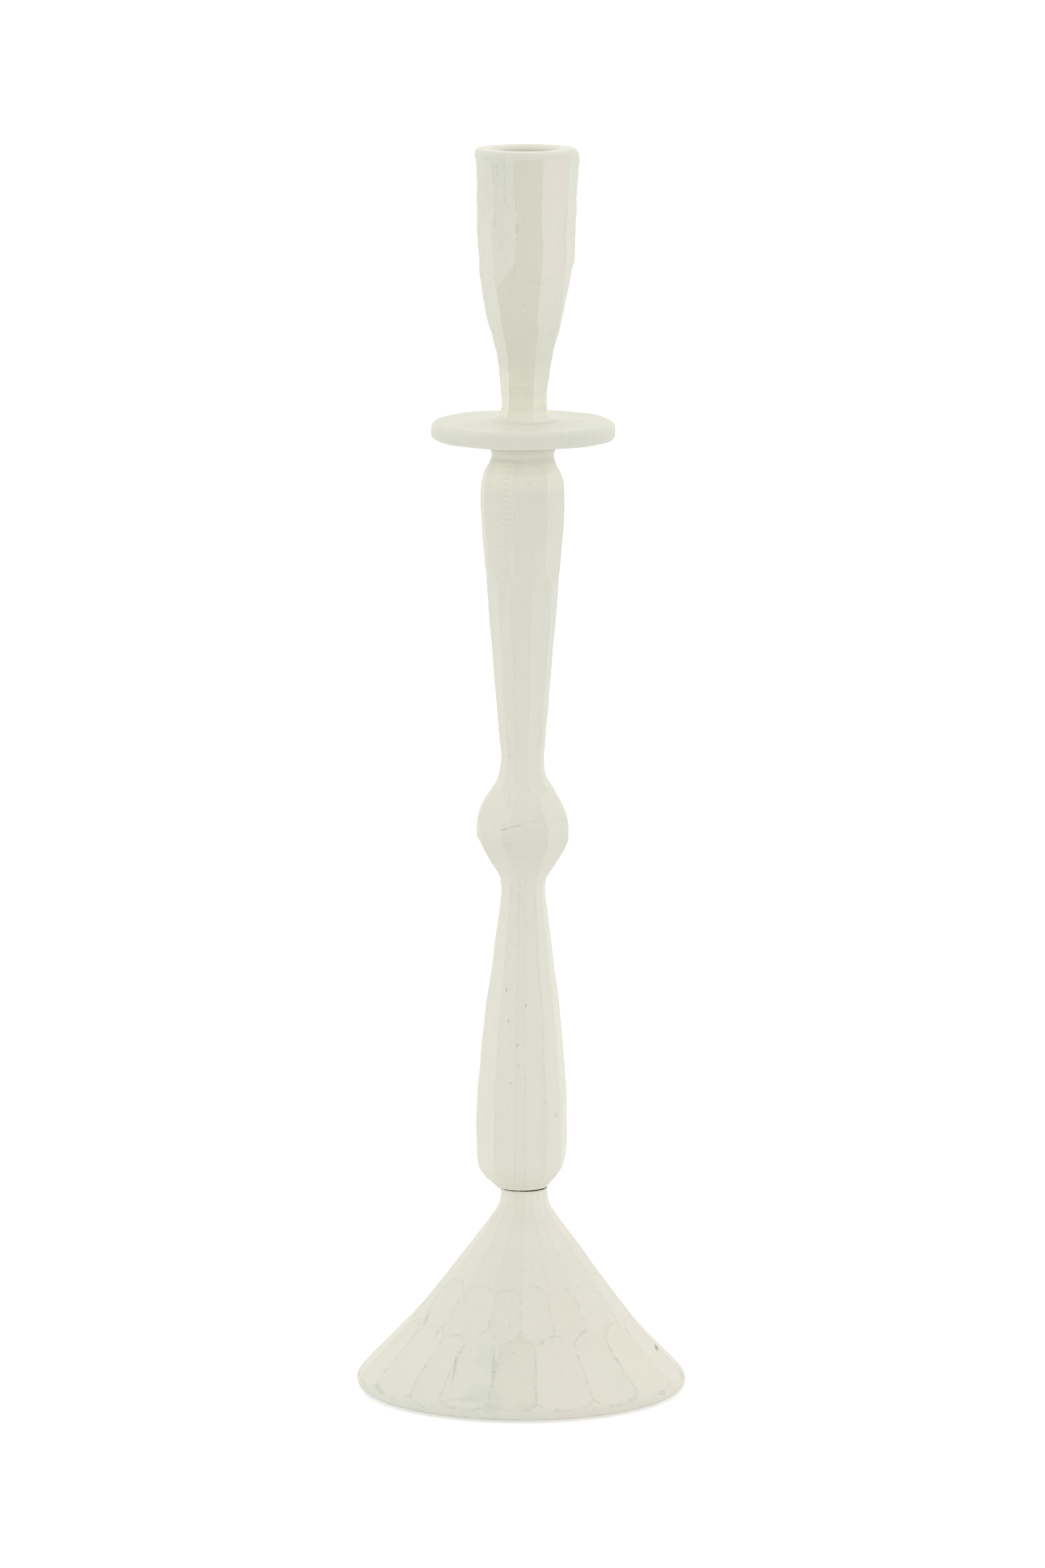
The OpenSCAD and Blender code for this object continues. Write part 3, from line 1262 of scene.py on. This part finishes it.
def thread(height: np.ndarray, angle: np.ndarray, pitch: float, depth: float) -> np.ndarray:
    """Depth of a V-shaped screw thread below its crest.

    Args:
        height: heights in millimetres.
        angle: angles round the axis, in radians.
        pitch: rise of one turn.
        depth: depth of the groove.

    Returns:
        The depth at each point, 0 on the crest's flat.
    """
    turn = (height / pitch - angle / (2 * math.pi)) % 1
    return depth * np.clip(1.15 - np.abs(2 * turn - 1) * 1.3, 0, 1)


@dataclass
class StudUnit:
    """The hanger bolt that screws the stem to the base.

    Attributes:
        radius: radius over the thread.
        low, top: heights of its two ends.
        seam: height of the joint between base and stem.
    """

    radius: float = 3.0
    low: float = 57.5
    seam: float = 75.5
    top: float = 99.5

    def build(self) -> None:
        """Turns the bolt: metric thread with a chamfered tip, plain shank, wood screw with a point."""
        r = self.radius
        chain = [(0.0, self.low), (r - 1, self.low), (r, self.low + 1), (r, self.top - 2),
                 (r / 3, self.top), (0.0, self.top)]
        mesh = spun("stud_steel", dense(chain, 0.12), 64)

        def threaded(place: np.ndarray) -> np.ndarray:
            """Cuts the machine thread below and the wood screw above.

            Args:
                place: vertices in millimetres, one a row.

            Returns:
                Their new places, in metres.
            """
            x, y, z = place.T
            radius, angle = np.hypot(x, y), np.arctan2(y, x)
            fade_low = np.clip((self.seam - 0.4 - z) / 0.8, 0, 1)
            fade_high = np.clip((z - self.seam - 3.5) / 1.2, 0, 1)
            wood = np.clip(thread(z, angle, 2.4, 0.95) * 1.5, 0, 0.95)
            groove = thread(z, angle, 1.0, 0.55) * fade_low + wood * fade_high
            on_side = np.clip(radius - 1.0, 0, 1)
            new = np.maximum(radius - groove * on_side, 0)
            share = np.divide(new, radius, out=np.zeros_like(radius), where=radius > 1e-6)
            return np.stack([x * share, y * share, z], axis=1) * MM

        reshape(mesh, threaded)
        piece = finished(mesh, 35)
        dress(piece, Metal("stud_zinc", (0.66, 0.67, 0.69), (0.50, 0.51, 0.53), 0.34), slot=Slot.ZINC_STEEL)
        hand_over(piece, "stud", "stud_unit")


@dataclass
class StemUnit:
    """The carved stem with the drip pan, the candle cup and the dowel that joins them.

    Attributes:
        seam: height of the joint between base and stem.
        pan_z, cup_z, top: heights of the pan's underside, of the cup's foot and of its rim.
        pan_radius: radius of the drip pan.
        pan_shift, cup_shift: how far pan and cup sit off the stem's axis, to +X.
        bore_radius, bore_foot: radius and lowest height of the bore for the candle.
        bare_foot: height at which the paint in that bore ends.
        dowel_radius, dowel_foot, dowel_top: radius of the dowel and heights of its ends.
        hole_foot, hole_top: heights of the ends of the dowel's holes.
        stud_room: height of the end of the stud's hole in the stem.
    """

    seam: float = 75.5
    pan_z: float = 354.4
    cup_z: float = 360.8
    top: float = 460.0
    pan_radius: float = 33.7
    pan_shift: float = 0.6
    cup_shift: float = 1.5
    bore_radius: float = 11.25
    bore_foot: float = 433.8
    bare_foot: float = 449.0
    dowel_radius: float = 4.0
    dowel_foot: float = 338.4
    dowel_top: float = 373.8
    hole_foot: float = 337.4
    hole_top: float = 374.8
    stud_room: float = 100.5

    def build(self) -> None:
        """Builds and dresses every piece of the stem."""
        self.stem()
        self.pan()
        self.cup()
        self.dowel()

    def stem(self) -> None:
        """Carves the stem: long cuts on its two swellings, short hewn ones on the ball."""
        s = self.seam
        carving = Carving(
            outline=Curve(tuple((s + h, r) for h, r in (
                (0.25, 9.6), (0.7, 10.0), (1.6, 10.9), (4, 13.6), (8.5, 16.3), (13, 16.9), (31, 17.1),
                (46, 16.0), (66, 14.1), (85, 11.5), (103, 9.2), (111.5, 8.3), (116, 9.0), (119.5, 10.8),
                (124.5, 14.2), (130, 17.0), (137.5, 17.5), (143, 15.9), (148, 12.7), (152, 9.9),
                (156, 8.5), (161.5, 8.1), (167, 8.6), (192, 10.7), (222, 13.2), (242, 14.8),
                (255.5, 15.6), (261.9, 15.3), (265.9, 14.2), (269.5, 12.3), (272.3, 11.4),
                (275.5, 12.2), (278.9, 13.2),
            ))),
            foot=s + 0.25,
            rows=(
                CutRow(top=s + 2.0),
                CutRow(top=195.0, cuts=10, ridges=(-78, -35, -9, 5, 31, 58), hollow=0.1,
                       soft=0.25, run_out=0.08, uneven=0.12, tones=(0.6, 0.5, 0.35, 0.55, 0.6, 0.7)),
                CutRow(top=205.4, cuts=7, ridges=(-66, -20, 34, 84), arch=0.8, flat=0.45,
                       soft=0.2, run_out=0.3, uneven=0.15, line=0.3, tones=(0.6, 0.3, 0.6)),
                CutRow(top=213.6, cuts=8, ridges=(-62, -24, 31, 78), arch=1.3, flat=0.8,
                       soft=0.1, run_out=0.35, uneven=0.2, line=0.3, tones=(0.6, 0.35, 0.65)),
                CutRow(top=225.5, cuts=8, ridges=(-70, -14, 26, 72), flat=0.3, soft=0.25,
                       run_out=0.3, uneven=0.15, line=0.2, tones=(0.6, 0.5, 0.7)),
                CutRow(top=304.0, cuts=11, ridges=(-78, -42, -17, 13, 54, 84), arch=2.5, dip=1.0,
                       hollow=0.08, run_out=0.08, uneven=0.1, line=0.5, tones=(0.6, 0.6, 0.35, 0.5, 0.7)),
                CutRow(top=346.5, cuts=8, ridges=(-62, -11, 36, 80), hollow=0.1, soft=0.2,
                       uneven=0.1, line=0.3, tones=(0.6, 0.4, 0.6)),
                CutRow(top=self.pan_z),
            ),
            below=(
                Ring(0, self.stud_room),
                Ring(3.05, self.stud_room),
                Ring(3.05, s),
                Ring(7.0, s),
                Ring(8.9, s + 0.05),
                Ring(9.4, s + 0.12),
            ),
            above=(
                Ring(self.dowel_radius, self.pan_z, self.pan_shift),
                Ring(self.dowel_radius, self.hole_foot, self.pan_shift),
                Ring(0, self.hole_foot, self.pan_shift),
            ),
            lean=Curve(((75, -0.1), (110, 0.0), (190, 0.5), (230, 0.2), (340, 0.2), (354.4, 0.5))),
            columns=160,
            pitch=0.62,
            wobble=0.14,
            wander=2.2,
            seed=5,
        )
        piece = carving.build("stem_wood")
        paint = PaintedWood(
            "stem_paint",
            drift=30.0,
            ridge_line=0.15,
            row_line=0.18,
            line_width=0.4,
            tone=0.012,
            # painted light and shade: darker under the ball, lighter over it, much lighter on the shoulder
            # below the pan where its shadow falls, darker right under the pan
            painted_light_curve=Curve((
                (80, 1.03), (95, 1.01), (185, 1.01), (203, 0.945), (213, 0.985), (229, 1.015),
                (246, 0.985), (325, 0.97), (333, 1.0), (343, 1.19), (348, 1.0), (352, 0.8),
            )),
            # painted shadow band round the foot, at the joint with the base
            seam=75.62,
            blush=0.2,
            gloss=0.18,
            chatter=0.15,
            ripples=(
                Mark(-6.2, 320.0, 4.6, 62.0, turn=2, strength=1.0, edge=0.6),
                Mark(-4.6, 262.0, 4.6, 70.0, turn=3, strength=1.0, edge=0.6),
                Mark(-4.6, 206.0, 5.0, 14.0, strength=0.7, edge=0.5),
                Mark(-3.5, 178.0, 6.0, 30.0, strength=0.6, edge=0.5),
            ),
            marks=self.stem_marks(),
        )
        dress(piece, paint, BareWood("stem_raw_wood"), slot=Slot.PAINTED_WOOD)

        def hidden(spot: Vector) -> bool:
            """Whether a spot lies on the foot's face or in the stud's hole."""
            return spot.z < s + 0.1 or math.hypot(spot.x, spot.y) < 3.3 and spot.z < self.stud_room + 0.5

        refinish(piece, 1, hidden)
        hand_over(piece, "stem", "stem_unit")

    def stem_marks(self) -> tuple[Mark, ...]:
        """Blemishes on the front of the stem: fine cracks in the ball, dashes, pits and a stain."""
        crack = (0.16, 0.16, 0.12)
        fine = {"colour": crack, "strength": 0.55, "edge": 0.3, "ragged": 0.35, "depth": 0.1}
        faint = {"colour": crack, "strength": 0.14, "edge": 0.2, "ragged": 0.8, "depth": 0.05}
        return (
            Mark(-6.4, 212.0, 0.3, 4.2, turn=70, **fine),
            Mark(-2.2, 213.2, 0.3, 7.4, turn=80, **fine),
            Mark(-5.8, 206.6, 0.4, 3.2, turn=-30, **faint),
            Mark(-4.5, 223.5, 0.35, 12.0, turn=12, **faint),
            Mark(-2.8, 236.5, 0.3, 12.0, **faint),
            Mark(-3.7, 187.3, 0.35, 10.0, **faint),
            Mark(-1.0, 186.0, 0.35, 9.0, **faint),
            Mark(-2.3, 177.0, 0.35, 6.0, turn=13, **faint),
            Mark(1.7, 175.9, 0.35, 7.0, **faint),
            Mark(-5.6, 151.5, 0.5, 2.2, turn=12, **fine),
            Mark(1.5, 146.0, 0.45, 2.0, turn=8, **fine),
            Mark(-4.9, 140.3, 0.45, 1.8, **fine),
            Mark(-1.5, 131.5, 0.45, 2.0, turn=20, **fine),
            Mark(-1.2, 124.0, 0.7, 0.9, **fine),
            Mark(-4.1, 117.3, 0.7, 0.9, **fine),
            Mark(12.7, 104.5, 2.2, 3.0, colour=(0.5, 0.42, 0.3), strength=0.4, edge=0.1, ragged=0.6),
        )

    def cup_marks(self) -> tuple[Mark, ...]:
        """Blemishes on the front of the cup, a filled knot and a chip, and painted light round its foot."""
        knot, chip, pale = (0.60, 0.59, 0.49), (0.72, 0.71, 0.64), (0.80, 0.78, 0.67)
        return (
            Mark(-1.7, 432.5, 1.6, 3.8, turn=5, colour=knot, strength=0.5, ragged=0.5, depth=0.25),
            Mark(0.5, 402.5, 1.2, 2.6, turn=8, colour=chip, strength=0.5, ragged=0.6, depth=0.15),
            # painted light: a pale band round the cup's foot, over the corner that the pan shades
            Mark(1.0, 363.6, 34.0, 7.0, colour=pale, strength=0.5, edge=0.1),
        )

    def pan(self) -> None:
        """Turns the drip pan, slightly dished and not quite round."""
        r, z, t, x0 = self.pan_radius, self.pan_z, self.cup_z - self.pan_z, self.pan_shift
        edge, under, sag = 2.6, 2.0, 0.38
        chain = [
            (0.0, 0.0), (self.dowel_radius, 0.0), (r - under, 0.0),
            *arc((r - under, under), under, -80, 0, 8),
            *arc((r - edge, t - edge), edge, 0, 78, 8),
            (r - edge - 0.6, t - 0.05), (25.0, t - 0.65), (18.0, t - 0.6), (13.5, t - 0.15),
            (12.4, t), (self.dowel_radius, t), (0.0, t),
        ]
        mesh = spun("drip_pan_wood", dense(chain, 0.7), 256)

        def worked(place: np.ndarray) -> np.ndarray:
            """Makes the rim uneven, a little low at the front, and leaves scraper marks on the faces.

            Args:
                place: vertices in millimetres, one a row.

            Returns:
                Their new places, in metres.
            """
            x, y, h = place.T
            radius, angle = np.hypot(x, y), np.arctan2(x, -y)
            out = np.clip((radius - 20) / 12, 0, 1)
            lobes = 0.28 * np.sin(2 * angle + 0.6) + 0.16 * np.sin(5 * angle + 2.1)
            lobes += 0.09 * np.sin(11 * angle + h * 0.5)
            grow = 1 + (lobes + 0.1) * out / r
            up = 0.12 * np.sin(3 * angle + 1.0) * out + 0.05 * np.sin(angle * 7 + radius * 0.6) * out
            free = ((radius > 11) & (h > t / 2)) | (radius > 14)
            up = np.where(free, up, 0)
            away = np.clip((radius - 14) / 18, 0, 1)
            up -= sag * (1 - y / r) * away * away * (3 - 2 * away)
            return np.stack([x * grow + x0, y * grow, h + z + up], axis=1) * MM

        reshape(mesh, worked)
        piece = finished(mesh)
        paint = PaintedWood(
            "pan_paint",
            green=0.3,
            # painted shade: the pan's underside is made darker than its top
            painted_light_curve=Curve(((355, 0.92), (361, 0.965))),
            marks=(
                Mark(-3.7, 360.0, 1.3, 20.0, colour=(0.42, 0.3, 0.16), strength=0.7, y=-20.0),
                # painted light: a pale patch on the pan's top round the cup's foot, where the corner is
                # shaded
                Mark(0.9, 361.0, 38.0, 20.0, colour=(0.68, 0.67, 0.58), strength=0.5, edge=0.2, y=0.0),
            ),
            carved=False,
        )
        dress(piece, paint, slot=Slot.PAINTED_WOOD)
        hand_over(piece, "drip_pan", "stem_unit")

    def cup(self) -> None:
        """Carves the candle cup: long lower cuts, shorter upper ones that end in points."""
        f = self.cup_z
        lip = self.cup_shift
        b = self.bore_radius
        carving = Carving(
            outline=Curve(tuple((f + h, r) for h, r in (
                (0.15, 12.2), (0.6, 11.0), (1.4, 10.0), (2.6, 9.3), (4, 8.9), (8, 8.7), (13, 9.2),
                (19, 9.9), (25, 10.9), (31, 12.6), (37, 14.3), (43, 15.6), (50, 16.9), (60, 17.7),
                (72, 18.2), (85, 18.6), (97.2, 19.1), (98.2, 18.7),
            ))),
            foot=f + 0.15,
            rows=(
                CutRow(top=f + 1.6),
                CutRow(top=412.0, cuts=8, ridges=(-80, -39, 18, 62), arch=8.0, hollow=0.1, soft=0.1,
                       uneven=0.12, tones=(0.6, 0.1, 0.68, 0.7)),
                CutRow(top=457.3, cuts=11, ridges=(-75, -41, -12, 19, 54, 88), dip=4.5,
                       run_out=0.05, uneven=0.15, tones=(0.55, 0.35, 0.1, 0.9, 0.6)),
                CutRow(top=f + 98.2, line=0.0),
            ),
            below=(
                Ring(0, self.hole_top, self.pan_shift),
                Ring(self.dowel_radius, self.hole_top, self.pan_shift),
                Ring(self.dowel_radius, f, self.pan_shift),
                Ring(12.6, f, 0.8),
            ),
            above=tuple(Ring(a, h, lip) for a, h in (
                *arc((17.3, self.top - 1.35), 1.35, 35, 90, 5),
                (15.6, self.top), (14.0, 459.95), (12.7, 459.9), (12.2, 459.6), (b + 0.4, 458.9),
                (b, 458.2), (b, self.bare_foot), (b, self.bore_foot), (0, self.bore_foot),
            )),
            lean=Curve(((f, 1.0), (372, 1.2), (400, 1.5), (420, 1.5), (460, 1.8))),
            columns=176,
            pitch=0.55,
            wobble=0.2,
            wander=3.2,
            seed=23,
        )
        piece = carving.build("candle_cup_wood")
        paint = PaintedWood(
            "cup_paint",
            green=0.3,
            ridge_line=0.16,
            row_line=0.16,
            line_width=0.4,
            ragged=0.6,
            worn=0.08,
            tone=0.008,
            # painted light and shade: much lighter round the foot, in the corner over the pan, a little
            # darker towards the rim
            painted_light_curve=Curve((
                (361, 0.99), (364, 1.16), (367, 1.2), (374, 1.11), (384, 1.0), (395, 0.98), (460, 0.965),
            )),
            blush=1.0,
            chatter=0.16,
            ripples=(Mark(0.5, 375.0, 12.0, 14.0, strength=0.55, edge=0.3),),
            lumps=(
                Mark(-9.0, 447.0, 15.0, 34.0, turn=8, strength=1.0, edge=0.5),
                Mark(-6.0, 425.0, 10.0, 24.0, turn=-8, strength=0.6, edge=0.3),
            ),
            marks=self.cup_marks(),
        )
        bare = BareWood("cup_raw_wood", (0.50, 0.40, 0.28), (0.30, 0.22, 0.14), specks=0.7)
        # paint in the mouth of the bore, made lighter than the outside paint as painted light against the
        # bore's shade
        mouth = PaintedWood("bore_paint_with_painted_light", cool=(0.70, 0.70, 0.61), warm=(0.72, 0.69, 0.58), carved=False)
        dress(piece, paint, bare, mouth, slot=Slot.PAINTED_WOOD)
        # faces high in the bore get the lightened mouth paint, deeper ones bare wood
        for index, height in ((2, 459.7), (1, self.bare_foot)):
            refinish(piece, index, lambda spot, end=height: (
                math.hypot(spot.x - lip, spot.y) < b + 0.9 and 430 < spot.z < end))
        hand_over(piece, "candle_cup", "stem_unit")

    def dowel(self) -> None:
        """Turns the hidden dowel, with glue flutes along it and chamfered ends."""
        r, low, high = self.dowel_radius, self.dowel_foot, self.dowel_top
        chain = [(0.0, low), (r - 0.8, low), (r, low + 0.8), (r, high - 0.8), (r - 0.8, high), (0.0, high)]
        mesh = spun("dowel_wood", dense(chain, 1.2), 96)

        def fluted(place: np.ndarray) -> np.ndarray:
            """Presses narrow flutes into the round.

            Args:
                place: vertices in millimetres, one a row.

            Returns:
                Their new places, in metres.
            """
            x, y, z = place.T
            angle = np.arctan2(y, x)
            deep = 0.18 * np.clip(np.cos(angle * 16), 0, 1) * (np.hypot(x, y) > r - 0.4)
            grow = 1 - deep / r
            return np.stack([x * grow + self.pan_shift, y * grow, z], axis=1) * MM

        reshape(mesh, fluted)
        piece = finished(mesh, 35)
        dress(piece, BareWood("dowel_beech"), slot=Slot.BARE_WOOD)
        hand_over(piece, "dowel", "stem_unit")


# ---------------------------------------------------------------- studio


@dataclass(frozen=True)
class Studio:
    """A wide pale floor in even white light, seen from a little above.

    Attributes:
        distance: distance of the camera in front of the axis, in metres.
        height: its height above the floor.
        pitch: how far it looks down, in degrees.
        lens: its focal length in millimetres.
        dim_front: how much dimmer the light is from the camera's side.
        from_above: how much brighter it is from overhead.
        light: strength of the light all round.
    """

    distance: float = 3.07
    height: float = 0.74
    pitch: float = 9.5
    lens: float = 194.7
    dim_front: float = 0.36
    from_above: float = 0.3
    light: float = 1.16

    def build(self) -> None:
        """Sets up the camera, the floor and the light."""
        self.camera()
        self.floor()
        self.sky()
        bpy.context.scene.view_settings.view_transform = "Standard"
        bpy.context.scene.view_settings.look = "None"

    def camera(self) -> None:
        """Places the camera."""
        lens = bpy.data.cameras.new("camera")
        lens.lens = self.lens
        lens.sensor_width = 36
        lens.clip_end = 200
        camera = bpy.data.objects.new("camera", lens)
        camera.location = (0.00025, -self.distance, self.height)
        camera.rotation_euler = (math.radians(90 - self.pitch), 0, 0)
        bpy.context.scene.collection.objects.link(camera)
        bpy.context.scene.camera = camera

    def floor(self) -> None:
        """Lays the floor."""
        bm = bmesh.new()
        bmesh.ops.create_grid(bm, x_segments=2, y_segments=2, size=30)
        mesh = bpy.data.meshes.new("floor")
        bm.to_mesh(mesh)
        bm.free()
        floor = bpy.data.objects.new("floor", mesh)
        bpy.context.scene.collection.objects.link(floor)
        g = Graph("floor_white")
        g.shader.inputs["Base Color"].default_value = (0.55, 0.55, 0.55, 1)
        g.shader.inputs["Emission Color"].default_value = (1, 1, 1, 1)
        g.shader.inputs["Emission Strength"].default_value = 0.5
        g.shader.inputs["Roughness"].default_value = 0.9
        g.shader.inputs["Specular IOR Level"].default_value = 0.1
        floor.data.materials.append(g.material)

    def sky(self) -> None:
        """Lights the scene evenly from all round, a little dimmer from the front."""
        world = bpy.data.worlds.new("soft_light")
        bpy.context.scene.world = world
        world.use_nodes = True
        tree = world.node_tree
        tree.nodes.clear()
        where = tree.nodes.new("ShaderNodeTexCoord")
        split = tree.nodes.new("ShaderNodeSeparateXYZ")
        dim = tree.nodes.new("ShaderNodeMapRange")
        lift = tree.nodes.new("ShaderNodeMapRange")
        both = tree.nodes.new("ShaderNodeMath")
        both.operation = "MULTIPLY"
        back = tree.nodes.new("ShaderNodeBackground")
        out = tree.nodes.new("ShaderNodeOutputWorld")
        back.inputs["Color"].default_value = (1, 1, 1, 1)
        dim.inputs[1].default_value, dim.inputs[2].default_value = -1.0, 0.1
        dim.inputs[3].default_value = self.light * (1 - self.dim_front)
        dim.inputs[4].default_value = self.light
        lift.inputs[3].default_value, lift.inputs[4].default_value = 1.0, 1 + self.from_above
        tree.links.new(where.outputs["Generated"], split.inputs[0])
        tree.links.new(split.outputs[1], dim.inputs[0])
        tree.links.new(split.outputs[2], lift.inputs[0])
        tree.links.new(dim.outputs[0], both.inputs[0])
        tree.links.new(lift.outputs[0], both.inputs[1])
        tree.links.new(both.outputs[0], back.inputs["Strength"])
        tree.links.new(back.outputs[0], out.inputs[0])


def main() -> None:
    """Builds the studio and every sub-assembly, and reports each piece."""
    logging.basicConfig(level=logging.INFO, format="%(name)s: %(message)s")
    Studio().build()
    BaseUnit().build()
    StudUnit().build()
    StemUnit().build()


if __name__ == "__main__":
    main()
